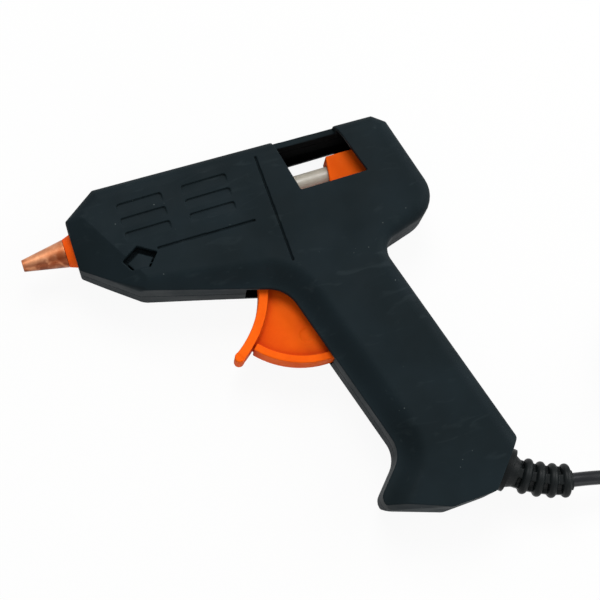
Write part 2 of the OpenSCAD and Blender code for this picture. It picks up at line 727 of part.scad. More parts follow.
module inlet_sleeve() color([0.85, 0.85, 0.82]) difference() {
  barrel(sleeve_x, sleeve_x + sleeve_len, sleeve_r, sleeve_r);
  barrel(sleeve_x - past, sleeve_x + sleeve_seat + fit, tail_r + fit, tail_r + fit);
  barrel(sleeve_x, sleeve_x + sleeve_len + past, stick_r + run, stick_r + run);
}

module sleeve_clip() color([0.7, 0.7, 0.72])
  translate([sleeve_x + sleeve_seat / 2, 0, zm]) rotate([0, 90, 0]) rotate_extrude()
    translate([sleeve_r + clip_wire_r + fit, 0]) circle(clip_wire_r);

module glue_stick() color([0.86, 0.82, 0.72, 0.8]) {
  barrel(stick_rear_x - stick_len + 1, stick_rear_x, stick_r, stick_r);
  barrel(stick_rear_x - stick_len, stick_rear_x - stick_len + 1, stick_r - 1, stick_r);
}

module feed_carriage() color([1, 0.45, 0.08]) {
  rear = block_front_x + block_len;
  slot_x = arm_lead + 5.2;
  difference() {
    union() {
      block(-sled_front_x, rear, -sled_top - sled_h, -sled_top, sled_half);
      translate([0, 0, zm - block_half]) linear_extrude(2 * block_half) polygon([
        [block_front_x + (block_up + sled_top) * tan(block_lean), -sled_top - past],
        [rear, -sled_top - past], [rear, block_up], [block_front_x, block_up]
      ]);
    }
    barrel(0, far, stick_r + run, stick_r + run);
    barrel(rear - washer_t - fit, far, washer_r + fit, washer_r + fit);
    block(pin_rest.x - 5, pin_rest.x + 5, -far, 0, arm_t / 2 + run);
  }
  translate(spot(pin_rest, zm - sled_half + past)) cylinder(h = 2 * (sled_half - past), r = cross_pin_r);
  translate([-sled_front_x, pin_rest.y, zm]) rotate([0, -90, 0])
    cylinder(h = 3, r = spring_r - spring_wire_r - run / 2);
}

module grip_washer() color([0.7, 0.7, 0.72]) difference() {
  rear = block_front_x + block_len;
  barrel(rear - washer_t, rear, washer_r, washer_r);
  barrel(0, far, stick_r + 0.15, stick_r + 0.15);
  for (a = [0:60:300])
    translate([0, 0, zm]) rotate([a, 0, 0]) translate([0, -0.3, 0]) cube([far, 0.6, stick_r + 1]);
}

// A tube through points, square to its path at both ends, with n sides
function tangent_at(p, i) =
  let (last = len(p) - 1)
  let (v = p[min(i + 1, last)] - p[max(i - 1, 0)])
  v / norm(v);
function ring_at(p, i, r, n) =
  let (t = tangent_at(p, i))
  let (s = cross(t, [0, 0, 1]) / norm(cross(t, [0, 0, 1])))
  let (u = cross(s, t))
  [for (k = [0:n - 1]) p[i] + r * (cos(360 * k / n) * s + sin(360 * k / n) * u)];

module tube(p, r, n) {
  last = len(p) - 1;
  polyhedron(
    points = [for (i = [0:last]) each ring_at(p, i, r, n)],
    faces = concat(
      [for (i = [0:last - 1], k = [0:n - 1]) each [
        [i * n + k, i * n + (k + 1) % n, (i + 1) * n + k],
        [i * n + (k + 1) % n, (i + 1) * n + (k + 1) % n, (i + 1) * n + k]
      ]],
      [for (k = [1:n - 2]) [0, k + 1, k]],
      [for (k = [1:n - 2]) [last * n, last * n + k, last * n + k + 1]]
    ));
}

// Least distance between the tube's surface and any other turn of it
function least_gap(p, d, skip) =
  min([for (i = [0:len(p) - 1], j = [i + skip:len(p) - 1]) if (j < len(p)) norm(p[i] - p[j])]) - d;

spring_front_x = tail_rib_x + rib_t;
spring_len = -sled_front_x - spring_front_x;
SPRING_RINGS = 8;
spring_path = [
  for (k = [0:spring_turns * SPRING_RINGS])
    [
      spring_front_x + spring_wire_r + 0.1 + (spring_len - 2 * spring_wire_r - 0.2) * k / (spring_turns * SPRING_RINGS),
      pin_rest.y + spring_r * cos(360 * k / SPRING_RINGS),
      zm + spring_r * sin(360 * k / SPRING_RINGS)
    ]
];

module return_spring() color([0.75, 0.75, 0.77]) tube(spring_path, spring_wire_r, 6);

// The finger face is a bow about this centre
finger_c = [-49.1, -23.5];
BOTTOM_FROM = 222;
BOTTOM_TO = 284;
fork_half = 3.6;
MARK_C = [-3.8, -53.2];
mark_r = 2.7;
mark_d = 0.3;
FINGER_TOP = 0;
FINGER_END = -55.5;
LIP_SET = 0.15;

module trigger() color([1, 0.45, 0.08]) {
  web_r = finger_r + finger_wall / 2;
  bow(finger_c, finger_r, finger_r + finger_wall, FINGER_END, FINGER_TOP, trigger_w);
  translate(spot(finger_c + web_r * dir(FINGER_END - 1), zm)) rotate([0, 0, FINGER_END + 90])
    cylinder(h = trigger_w - 2 * LIP_SET, r = lip_r, center = true);
  bow(pivot, trigger_r - trigger_wall, trigger_r, BOTTOM_FROM, BOTTOM_TO, trigger_w);
  difference() {
    translate([0, 0, zm - trigger_web / 2]) linear_extrude(trigger_web) polygon(concat(
      [for (a = [FINGER_TOP:-5:FINGER_END + 2]) finger_c + web_r * dir(a)],
      [for (a = [BOTTOM_FROM + 1:5:BOTTOM_TO - 1]) pivot + (trigger_r - trigger_wall / 2) * dir(a)],
      [pivot + [hub_r / 2, 0]]
    ));
    for (s = [-1, 1])
      translate(spot(MARK_C, zm + s * trigger_web / 2)) cylinder(h = 2 * mark_d, r = mark_r, center = true);
  }
  translate(spot(pivot, zm - trigger_w / 2)) cylinder(h = trigger_w, r = hub_r);
  translate(spot(pivot, zm - trigger_w / 2 - trunnion_len)) cylinder(h = trigger_w + 2 * trunnion_len, r = trunnion_r);
  difference() {
    fork_r = norm(pin_rest - pivot) + cross_pin_r + 0.6;
    translate(spot(pivot, zm - arm_t / 2)) rotate([0, 0, -rest_a]) translate([-fork_half, 0, 0]) cube([2 * fork_half, fork_r, arm_t]);
    translate(spot(pivot, zm - arm_t)) rotate([0, 0, -rest_a]) {
      translate([0, arm_h - 1, 0]) cylinder(h = 2 * arm_t, r = cross_pin_r + run * 0.75);
      translate([-cross_pin_r - run * 0.75, arm_h - 1, 0]) cube([2 * cross_pin_r + run * 1.5, far, 2 * arm_t]);
    }
  }
}

module housing_screws() color([0.7, 0.71, 0.73])
  for (p = SCREWS) {
    translate(spot(p, seat_d)) cylinder(h = screw_len, r = screw_r - fit);
    difference() {
      translate(spot(p, seat_d - head_h)) cylinder(h = head_h, r = head_r);
      for (a = [0, 90])
        translate(spot(p, seat_d - head_h)) rotate([0, 0, a]) cube([2.6, 0.7, 1.8], center = true);
    }
  }

clamp_t = 2.5;
module cord_clamp() color([0.15, 0.15, 0.16]) difference() {
  on_relief(clamp_s) translate([-3, -clamp_reach - 3, cord_d / 2]) cube([6, 2 * clamp_reach + 6, clamp_t]);
  for (t = [-1, 1])
    on_relief(clamp_s) translate([0, t * clamp_reach, 0]) cylinder(h = far, r = clamp_screw_r + run / 2);
}

module clamp_screws() color([0.7, 0.71, 0.73])
  for (t = [-1, 1])
    on_relief(clamp_s) translate([0, t * clamp_reach, cord_d / 2 + clamp_t]) {
      cylinder(h = 1.4, r = 2.1);
      translate([0, 0, -clamp_t - 6]) cylinder(h = clamp_t + 6, r = clamp_screw_r - fit);
    }

RELIEF_RIBS = 4;
relief_core_r = 3.6;
relief_web = 3.2;
module strain_relief() color([0.1, 0.1, 0.11]) {
  on_relief(0) rotate([0, -90, 0]) cylinder(h = RELIEF_COLLAR, r = relief_collar_r);
  on_relief(tail_start) rotate([0, 90, 0]) cylinder(h = -tail_start, r = relief_neck_r);
  on_relief(tail_start) rotate([0, 90, 0]) cylinder(h = relief_flange, r = relief_neck_r + 1.7);
  translate(spot(relief_centre, zm)) rotate([0, 0, relief_a - 90]) {
    rotate_extrude(angle = relief_bend) translate([relief_bend_r, 0]) circle(relief_core_r);
    for (s = [-1, 1]) {
      rotate_extrude(angle = relief_bend * 0.93) translate([relief_bend_r + s * 3.9 - 1, -relief_web / 2])
        square([2, relief_web]);
      rotate_extrude(angle = relief_bend * 0.93) translate([relief_bend_r - relief_web / 2, s * 3.9 - 1])
        square([relief_web, 2]);
    }
  }
  on_relief(0) rotate([0, 90, 0]) cylinder(h = 3.4, r1 = relief_rib_r - 0.2, r2 = relief_core_r + 0.9);
  for (k = [0:RELIEF_RIBS - 1]) {
    s = relief_first + k * relief_pitch;
    r = relief_rib_r + (relief_end_r - relief_rib_r) * k / (RELIEF_RIBS - 1);
    translate(spot(relief_at(s), zm)) rotate([0, 0, relief_a + relief_bend * s / relief_len])
      rotate([0, 90, 0]) rotate_extrude() {
        translate([0, -relief_rib_t / 2]) square([r - relief_rib_t / 2, relief_rib_t]);
        intersection() {
          translate([r - relief_rib_t / 2, 0]) circle(relief_rib_t / 2);
          translate([0, -relief_rib_t]) square([r, 2 * relief_rib_t]);
        }
      }
  }
}

module inner_cord() color([0.1, 0.1, 0.11])
  on_relief(tail_start) rotate([0, -90, 0]) cylinder(h = tail_inside, r = cord_d / 2);

// Wires from the sheath's end to the heater, low along the right shell
wire_r = 0.9;
wire_start = relief_root + (tail_start - tail_inside) * dir(relief_a);
WIRE_ROUTE = [
  [25, -97, 9], [23, -90, 4.5], [19, -78, 3.4], [15, -65, 3.4], [11.5, -52, 3.4], [10, -42, 3.4],
  [9, -32, 3.4], [5, -23, 3.4], [-3, -18.5, 3.4], [-11, -15.5, 4.2], [-18, -12, 8]
];
wire_gap = 1.25;
function wire_heading(i) =
  let (v = WIRE_ROUTE[min(i + 1, len(WIRE_ROUTE) - 1)] - WIRE_ROUTE[max(i - 1, 0)])
  heading([v.x, v.y]);
function wire_path(side) =
  let (plate = heater_mid - side * (plate_y + plate_t / 2))
  let (start = wire_start - side * wire_gap * dir(relief_a + 90))
  concat(
    [spot(start, zm), spot(start - 2 * dir(relief_a), zm - 0.4)],
    [for (i = [0:len(WIRE_ROUTE) - 1])
      WIRE_ROUTE[i] + side * wire_gap * spot(dir(wire_heading(i) + 90), 0)],
    [[tab_end_x + crimp_len + 2, plate, tab_z - 0.2], [tab_end_x + crimp_len, plate, tab_z]]
  );

module lead_wires() color([0.55, 0.3, 0.2])
  for (side = [-1, 1])
    tube(wire_path(side), wire_r, 8);

module wire_crimps() color([0.78, 0.78, 0.8])
  for (y = [heater_mid + plate_y + plate_t / 2, heater_mid - plate_y - plate_t / 2])
    translate([tab_end_x, y, tab_z]) rotate([0, 90, 0]) cylinder(h = crimp_len, r = crimp_r);

// Route of the lead on the table, from the relief to the coil
CORD_ROUTE = [
  [78, -131, 13.2], [86, -132.8, 11.4], [94, -134.6, 8.6], [102, -136.4, 5.6],
  [110, -138.2, 3.4], [118, -140.1, 2.6]
];
COIL_C = [137.4, -105.6];
COIL_START = -100.5;
COIL_TURNS = 6;
COIL_RINGS = 24;
coil_sweep = 360 * COIL_TURNS - COIL_START;
coil_mid = coil_sweep / 2;
function coil_r(a) = coil_inner_r + coil_pitch * abs(a - coil_mid) / 360;
function coil_z(a) = cord_d / 2 + coil_pitch * min(max((a - coil_mid + 90) / 180, 0), 1);
function coil_at(a) = spot(COIL_C + coil_r(a) * dir(COIL_START + a), coil_z(a));
coil_n = ceil(coil_sweep / 360 * COIL_RINGS);
coil_loops = [for (k = [0:coil_n]) coil_at(coil_sweep * k / coil_n)];
coil_in = coil_loops[0] - cord_d * spot(dir(COIL_START + 90), 0);
coil_out = coil_loops[coil_n] + cord_d * spot(dir(COIL_START + coil_sweep + 90), 0);
coil_path = concat([coil_in], coil_loops, [coil_out]);
echo(least_coil_gap = least_gap(coil_loops, cord_d, COIL_RINGS / 2));
echo(least_spring_gap = least_gap(spring_path, 2 * spring_wire_r, SPRING_RINGS / 2));
echo(stroke = stroke, ratio = stroke / (trigger_swing * PI / 180), pin_rest = pin_rest, stack = heater_mid);
echo(cord_out = relief_at(relief_len), coil_in = coil_in, coil_out = coil_out);

cord_exit = relief_at(relief_len);
cord_path = concat(
  [spot(cord_exit, zm), spot(cord_exit + cord_d * dir(cord_out_a), zm)],
  CORD_ROUTE,
  [coil_in - cord_d * spot(dir(COIL_START + 90), 0), coil_in]
);

module power_cord() color([0.09, 0.09, 0.1]) tube(cord_path, cord_d / 2, 10);

module cord_coil() color([0.09, 0.09, 0.1]) tube(coil_path, cord_d / 2, 6);

// The tie goes round the bundle on the coil's side next to the grip
tie_passes = [for (k = [0:COIL_TURNS - 1]) coil_r(180 - COIL_START + 360 * k)];
module cord_tie() color([0.2, 0.2, 0.22]) {
  outer_r = max(tie_passes) + cord_d / 2;
  inner_r = min(tie_passes) - cord_d / 2;
  h = cord_d + coil_pitch;
  translate([COIL_C.x, COIL_C.y - tie_w / 2, 0]) rotate([90, 0, 180]) linear_extrude(tie_w) difference() {
    translate([inner_r - tie_t, 0]) square([outer_r - inner_r + 2 * tie_t, h + tie_t]);
    translate([inner_r, tie_t]) square([outer_r - inner_r, h - tie_t]);
  }
}

// The plug lies flat behind the coil, with its pins along the gun's up
PLUG_BACK = -66;
plug_x = coil_out.x;
plug_z = plug_t / 2;
plug_front = PLUG_BACK + boot_len + plug_len;
LEAD_ROUTE = [[0, -92, 7.8], [0, -84, 7.4], [0, -76, 7.0]];
lead_path = concat(
  [coil_out, coil_out + [0, cord_d, 0]],
  [for (p = LEAD_ROUTE) p + [plug_x, 0, 0]],
  [[plug_x, PLUG_BACK - cord_d, plug_z], [plug_x, PLUG_BACK, plug_z]]
);

module plug_lead() color([0.09, 0.09, 0.1]) tube(lead_path, cord_d / 2, 10);

PIN_CORE = 0.7;
module plug_body() color([0.09, 0.09, 0.1]) {
  translate([plug_x, PLUG_BACK, plug_z]) rotate([-90, 0, 0])
    cylinder(h = boot_len + 1, r1 = cord_d / 2 + 0.9, r2 = cord_d / 2 + 2.6);
  difference() {
    intersection() {
      translate([plug_x, PLUG_BACK + boot_len, 0]) linear_extrude(plug_t) polygon([
        [-8, 0], [8, 0], [plug_w / 2 - 2, plug_len * 0.5], [plug_w / 2, plug_len * 0.62],
        [plug_w / 2, plug_len - 2], [plug_w / 2 - 2, plug_len], [2 - plug_w / 2, plug_len],
        [-plug_w / 2, plug_len - 2], [-plug_w / 2, plug_len * 0.62], [2 - plug_w / 2, plug_len * 0.5]
      ]);
      translate([plug_x - plug_w, 0, 0]) rotate([90, 0, 90]) linear_extrude(2 * plug_w) polygon([
        [PLUG_BACK + boot_len, 1.5], [PLUG_BACK + boot_len + 12, 0], [plug_front - 1, 0], [plug_front, 1],
        [plug_front, plug_t - 1], [plug_front - 1, plug_t], [PLUG_BACK + boot_len + 12, plug_t],
        [PLUG_BACK + boot_len, plug_t - 1.5]
      ]);
    }
    for (s = [-1, 1])
      translate([plug_x + s * pin_pitch / 2, plug_front - 8, plug_z]) rotate([-90, 0, 0])
        cylinder(h = far, r = pin_r - sleeve_step);
  }
  for (s = [-1, 1])
    translate([plug_x + s * pin_pitch / 2, plug_front - 2, plug_z]) rotate([-90, 0, 0]) difference() {
      cylinder(h = pin_sleeve + 2, r = pin_r - sleeve_step);
      translate([0, 0, -past]) cylinder(h = far, r = pin_r - PIN_CORE);
    }
}

module plug_pins() color([0.8, 0.78, 0.65])
  for (s = [-1, 1])
    translate([plug_x + s * pin_pitch / 2, plug_front, plug_z]) rotate([-90, 0, 0]) {
      translate([0, 0, -8]) cylinder(h = 6 - fit, r = pin_r - sleeve_step - fit);
      translate([0, 0, -8]) cylinder(h = pin_len + 8, r = pin_r - PIN_CORE - fit);
      translate([0, 0, pin_sleeve + fit]) cylinder(h = pin_len - pin_sleeve - fit - pin_r, r = pin_r);
      translate([0, 0, pin_len - pin_r]) sphere(r = pin_r);
    }

left_shell();
right_shell();
nozzle();
nozzle_collar();
melt_chamber();
ptc_heater();
heater_electrodes();
heater_film();
inlet_sleeve();
sleeve_clip();
glue_stick();
feed_carriage();
grip_washer();
return_spring();
trigger();
housing_screws();
cord_clamp();
clamp_screws();
strain_relief();
inner_cord();
lead_wires();
wire_crimps();
power_cord();
cord_coil();
cord_tie();
plug_lead();
plug_body();
plug_pins();
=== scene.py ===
"""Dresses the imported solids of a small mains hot-melt glue gun that lies on its side on a pale table."""
import logging
import math
from dataclasses import dataclass, field
from enum import Enum
from typing import Any

import bpy
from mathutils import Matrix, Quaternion, Vector


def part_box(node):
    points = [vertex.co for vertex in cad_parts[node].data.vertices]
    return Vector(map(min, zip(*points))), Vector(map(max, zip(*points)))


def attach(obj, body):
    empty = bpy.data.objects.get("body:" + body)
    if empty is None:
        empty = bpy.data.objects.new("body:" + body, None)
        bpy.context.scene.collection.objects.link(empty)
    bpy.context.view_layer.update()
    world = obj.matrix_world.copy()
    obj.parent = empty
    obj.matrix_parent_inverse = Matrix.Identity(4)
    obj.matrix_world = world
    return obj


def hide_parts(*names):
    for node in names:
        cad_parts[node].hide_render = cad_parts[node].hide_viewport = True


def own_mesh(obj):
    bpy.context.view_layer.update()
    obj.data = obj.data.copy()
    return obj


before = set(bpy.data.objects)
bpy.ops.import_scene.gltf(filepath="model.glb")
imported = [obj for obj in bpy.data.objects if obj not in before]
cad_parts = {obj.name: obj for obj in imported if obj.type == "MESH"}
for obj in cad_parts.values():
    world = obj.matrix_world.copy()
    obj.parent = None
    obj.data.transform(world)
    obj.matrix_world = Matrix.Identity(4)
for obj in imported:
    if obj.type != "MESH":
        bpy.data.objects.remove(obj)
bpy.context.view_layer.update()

MM = 0.001
LOG = logging.getLogger("glue_gun")
Tree = bpy.types.NodeTree
Socket = bpy.types.NodeSocket
Point = tuple[float, float, float]

# The body that every piece made here rides on
CASING_BODY = "casing"

# Node kinds that the finishes use
COORDS = "ShaderNodeTexCoord"
MAPPING = "ShaderNodeMapping"
NOISE = "ShaderNodeTexNoise"
VORONOI = "ShaderNodeTexVoronoi"
WAVE = "ShaderNodeTexWave"
RANGE = "ShaderNodeMapRange"
MIX = "ShaderNodeMix"
MATH = "ShaderNodeMath"
BUMP = "ShaderNodeBump"
GEOMETRY = "ShaderNodeNewGeometry"
SPLIT = "ShaderNodeSeparateXYZ"
HOLLOW = "ShaderNodeAmbientOcclusion"

# Inputs and outputs that nodes know by number
MIX_FACTOR, MIX_A, MIX_B, MIX_RESULT = 0, 6, 7, 2
VALUE, FROM_LOW, FROM_HIGH, TO_LOW, TO_HIGH = range(5)
ALONG_Y, ALONG_Z = 1, 2

# Spans of a pattern's value, or of a face's bend or aim, over which an effect comes in
CLOUDS = {FROM_LOW: 0.35, FROM_HIGH: 0.65}
SHARP_EDGES = {FROM_LOW: 0.52, FROM_HIGH: 0.6}
GROOVES = {FROM_LOW: 0.485, FROM_HIGH: 0.44}
SMEARS = {FROM_LOW: 0.3, FROM_HIGH: 0.7}
SCUFFS = {FROM_LOW: 0.6, FROM_HIGH: 0.78}
SPECK_MIDDLES = {FROM_LOW: 0.1, FROM_HIGH: 0.04}
DUSTY_PATCHES = {FROM_LOW: 0.6, FROM_HIGH: 0.7}
INWARD_FACES = {FROM_LOW: 0.5 * MM, FROM_HIGH: 1.5 * MM}
CLOSED_IN = {FROM_LOW: 0.98, FROM_HIGH: 0.55}
UNDERSIDE = {FROM_LOW: 0.2, FROM_HIGH: -0.45}
# Patches of the painted shade on undersides
SHADE_PATCHES = {FROM_LOW: 0.3, FROM_HIGH: 0.55}

# Colour of the dirt and painted shade that darken grooves
DIRT_AND_SHADE = "#050708"
# Width of one band of the wave node at a scale of 1
WAVE_BAND = math.tau / 20
# Sides of a quarter of a tube's ring, and steps between two points of its line
TUBE_SIDES = 5
TUBE_STEPS = 6


class Axis(Enum):
    """A direction that turning or drawing marks run round."""

    X = "X"
    Y = "Y"


def linear(colour: str) -> tuple[float, float, float, float]:
    """Turns an sRGB hex colour to linear light.

    Args:
        colour: six hex digits after a hash sign.

    Returns:
        Linear red, green, blue and an alpha of 1.
    """
    parts = [int(colour[k:k + 2], 16) / 255 for k in (1, 3, 5)]
    light = [c / 12.92 if c <= 0.04045 else ((c + 0.055) / 1.055) ** 2.4 for c in parts]
    return (light[0], light[1], light[2], 1.0)


def per_mm(size_mm: float) -> float:
    """Gives the texture scale at which one feature is size_mm wide."""
    return 1 / (size_mm * MM)


def add(tree: Tree, kind: str, inputs: dict[str | int, Any] | None = None,
        **settings: Any) -> bpy.types.Node:
    """Adds a node with its settings and links.

    Args:
        tree: the node tree that takes the node.
        kind: the node's type name.
        inputs: a value, or another node's output to link, for each input name or number.
        settings: the node's own properties.

    Returns:
        The new node.
    """
    node = tree.nodes.new(kind)
    for name, value in settings.items():
        setattr(node, name, value)
    for name, value in (inputs or {}).items():
        if isinstance(value, Socket):
            tree.links.new(value, node.inputs[name])
        else:
            node.inputs[name].default_value = value
    return node


@dataclass(frozen=True)
class Finish:
    """A finish of one material: mottled colour, fine grain, uneven gloss and worn edges."""

    name: str
    colour: str
    shade: str
    worn: str
    roughness: float
    rough_spread: float = 0.08
    mottle_mm: float = 14.0
    smear_share: float = 0.6
    rub_mm: float = 4.0
    grain_mm: float = 0.6
    grain_depth_mm: float = 0.03
    wear: float = 0.35
    # Share of dirt and painted shade in grooves
    groove_dirt_and_shade: float = 0.0
    sockets: dict[str, Any] = field(default_factory=dict)

    def material(self) -> bpy.types.Material:
        """Gives the finish's material, made on the first call."""
        made = bpy.data.materials.get(self.name)
        if made is None:
            made = bpy.data.materials.new(self.name)
            made.use_nodes = True
            self.paint(made.node_tree)
        return made

    def paint(self, tree: Tree) -> None:
        """Sets up the shader: constant sockets, then the patterns.

        Args:
            tree: the material's new node tree.
        """
        shader = tree.nodes["Principled BSDF"]
        for name, value in self.sockets.items():
            shader.inputs[name].default_value = value
        place = add(tree, COORDS).outputs["Object"]
        tree.links.new(self.colours(tree, place), shader.inputs["Base Color"])
        tree.links.new(self.gloss(tree, place), shader.inputs["Roughness"])
        tree.links.new(self.relief(tree, place), shader.inputs["Normal"])

    def colours(self, tree: Tree, place: Socket) -> Socket:
        """Mottles the colour, lightens worn edges and darkens grooves with dirt and painted shade.

        Args:
            tree: the material's node tree.
            place: the surface point in metres.

        Returns:
            The colour's output socket.
        """
        cloud = add(tree, NOISE, {"Vector": place, "Scale": per_mm(self.mottle_mm), "Detail": 4.0})
        spread = add(tree, RANGE, {VALUE: cloud.outputs[0], **CLOUDS})
        mottled = add(tree, MIX, {MIX_FACTOR: spread.outputs[0], MIX_A: linear(self.shade),
                                  MIX_B: linear(self.colour)}, data_type="RGBA")
        tip = add(tree, GEOMETRY).outputs["Pointiness"]
        edges = add(tree, RANGE, {VALUE: tip, **SHARP_EDGES, TO_HIGH: self.wear})
        rubbed = add(tree, NOISE, {"Vector": place, "Scale": per_mm(self.rub_mm), "Detail": 3.0})
        uneven = add(tree, MATH, {0: edges.outputs[0], 1: rubbed.outputs[0]}, operation="MULTIPLY")
        worn = add(tree, MIX, {MIX_FACTOR: uneven.outputs[0], MIX_A: mottled.outputs[MIX_RESULT],
                               MIX_B: linear(self.worn)}, data_type="RGBA")
        # Grooves darken with dirt and with painted shade
        hollows = add(tree, RANGE, {VALUE: tip, **GROOVES, TO_HIGH: self.groove_dirt_and_shade})
        grooves_dirt_and_shade = add(tree, MIX, {MIX_FACTOR: hollows.outputs[0], MIX_A: worn.outputs[MIX_RESULT],
                                 MIX_B: linear(DIRT_AND_SHADE)}, data_type="RGBA")
        return grooves_dirt_and_shade.outputs[MIX_RESULT]

    def gloss(self, tree: Tree, place: Socket) -> Socket:
        """Makes the roughness uneven.

        Args:
            tree: the material's node tree.
            place: the surface point in metres.

        Returns:
            The roughness's output socket.
        """
        smear = add(tree, NOISE, {"Vector": place, "Scale": per_mm(self.mottle_mm * self.smear_share),
                                  "Detail": 5.0})
        rough = add(tree, RANGE, {VALUE: smear.outputs[0], **SMEARS,
                                  TO_LOW: self.roughness - self.rough_spread,
                                  TO_HIGH: self.roughness + self.rough_spread})
        return rough.outputs[0]

    def relief(self, tree: Tree, place: Socket) -> Socket:
        """Raises the surface's fine grain.

        Args:
            tree: the material's node tree.
            place: the surface point in metres.

        Returns:
            The normal's output socket.
        """
        grain = add(tree, NOISE, {"Vector": place, "Scale": per_mm(self.grain_mm), "Detail": 2.0})
        bump = add(tree, BUMP, {"Strength": 0.5, "Distance": self.grain_depth_mm * MM,
                                "Height": grain.outputs[0]})
        return bump.outputs[0]


@dataclass(frozen=True)
class ScuffedFinish(Finish):
    """A handled moulding: the plain finish with light scuffs and pale specks, with painted shade and a
    dull gloss inside.
    """

    scuff: str = "#3C4649"
    scuff_mm: Point = (13.0, 4.0, 6.0)
    scuff_turn: float = 0.7
    scuff_amount: float = 0.14
    speck: str = "#79827F"
    speck_mm: float = 2.6
    speck_amount: float = 0.5
    dust_mm: float = 11.0
    # Painted shade for faces that look into the casing
    inside: str = "#040506"
    parting_mm: float = 13.5
    channel_top_mm: float = 11.0

    def colours(self, tree: Tree, place: Socket) -> Socket:
        """Adds scuffs and specks to the plain finish's colour, and paints shade on the inside faces.

        Args:
            tree: the material's node tree.
            place: the surface point in metres.

        Returns:
            The colour's output socket.
        """
        plain = super().colours(tree, place)
        turned = add(tree, MAPPING, {"Vector": place, "Rotation": (0.0, 0.0, self.scuff_turn),
                                     "Scale": tuple(per_mm(s) for s in self.scuff_mm)})
        streak = add(tree, NOISE, {"Vector": turned.outputs[0], "Scale": 1.0, "Detail": 6.0,
                                   "Distortion": 1.2})
        rubbed = add(tree, RANGE, {VALUE: streak.outputs[0], **SCUFFS, TO_HIGH: self.scuff_amount})
        scuffed = add(tree, MIX, {MIX_FACTOR: rubbed.outputs[0], MIX_A: plain,
                                  MIX_B: linear(self.scuff)}, data_type="RGBA")
        dust = add(tree, VORONOI, {"Vector": place, "Scale": per_mm(self.speck_mm)})
        chance = add(tree, NOISE, {"Vector": place, "Scale": per_mm(self.dust_mm), "Detail": 1.0})
        near = add(tree, RANGE, {VALUE: dust.outputs[0], **SPECK_MIDDLES, TO_HIGH: self.speck_amount})
        some = add(tree, RANGE, {VALUE: chance.outputs[0], **DUSTY_PATCHES})
        speck = add(tree, MATH, {0: near.outputs[0], 1: some.outputs[0]}, operation="MULTIPLY")
        dusted = add(tree, MIX, {MIX_FACTOR: speck.outputs[0], MIX_A: scuffed.outputs[MIX_RESULT],
                                 MIX_B: linear(self.speck)}, data_type="RGBA")
        # Paints the shade of the casing's inside faces
        shaded_inside = add(tree, MIX, {MIX_FACTOR: self.inside_shade_mask(tree, place),
                                MIX_A: dusted.outputs[MIX_RESULT],
                                MIX_B: linear(self.inside)}, data_type="RGBA")
        return shaded_inside.outputs[MIX_RESULT]

    def gloss(self, tree: Tree, place: Socket) -> Socket:
        """Dulls the plain finish's gloss inside the casing.

        Args:
            tree: the material's node tree.
            place: the surface point in metres.

        Returns:
            The roughness's output socket.
        """
        dulled = add(tree, MATH, {0: super().gloss(tree, place), 1: self.inside_shade_mask(tree, place)},
                     operation="MAXIMUM")
        return dulled.outputs[0]

    def inside_shade_mask(self, tree: Tree, place: Socket) -> Socket:
        """Picks out the faces that look into the casing, which take painted shade and a dull gloss.

        They face the parting plane, or they face down from above the stick's channel.

        Args:
            tree: the material's node tree.
            place: the surface point in metres.

        Returns:
            An output that goes from 0 outside to 1 inside.
        """
        point = add(tree, SPLIT, {"Vector": place})
        facing = add(tree, SPLIT, {"Vector": add(tree, GEOMETRY).outputs["Normal"]})
        below = add(tree, MATH, {0: self.parting_mm * MM, 1: point.outputs[ALONG_Z]},
                    operation="SUBTRACT")
        over = add(tree, MATH, {0: point.outputs[ALONG_Y], 1: self.channel_top_mm * MM},
                   operation="SUBTRACT")
        roof = add(tree, MATH, {0: over.outputs[0], 1: 0.0}, operation="MAXIMUM")
        down = add(tree, MATH, {0: roof.outputs[0], 1: -1.0}, operation="MULTIPLY")
        across = add(tree, MATH, {0: below.outputs[0], 1: facing.outputs[ALONG_Z]},
                     operation="MULTIPLY")
        inward = add(tree, MATH, {0: down.outputs[0], 1: facing.outputs[ALONG_Y],
                                  2: across.outputs[0]}, operation="MULTIPLY_ADD")
        inside_shade_mask = add(tree, RANGE, {VALUE: inward.outputs[0], **INWARD_FACES})
        return inside_shade_mask.outputs[0]


@dataclass(frozen=True)
class HollowShadedFinish(Finish):
    """A bright plastic that light enters: the plain finish, with painted shade as a deeper colour in its
    hollows.
    """

    # Colour of the painted shade in hollows
    hollow_shade: str = "#B02C04"
    hollow_shade_amount: float = 0.9
    hollow_mm: float = 7.0

    def colours(self, tree: Tree, place: Socket) -> Socket:
        """Paints shade as a deeper colour between raised rims.

        Args:
            tree: the material's node tree.
            place: the surface point in metres.

        Returns:
            The colour's output socket.
        """
        # Painted shade: faces that less open air reaches take a deeper colour
        open_air = add(tree, HOLLOW, {"Distance": self.hollow_mm * MM}, only_local=True, samples=8)
        hollow_shade_factor = add(tree, RANGE, {VALUE: open_air.outputs["AO"], **CLOSED_IN,
                                   TO_HIGH: self.hollow_shade_amount})
        shaded_hollows = add(tree, MIX, {MIX_FACTOR: hollow_shade_factor.outputs[0],
                                   MIX_A: super().colours(tree, place),
                                   MIX_B: linear(self.hollow_shade)}, data_type="RGBA")
        return shaded_hollows.outputs[MIX_RESULT]


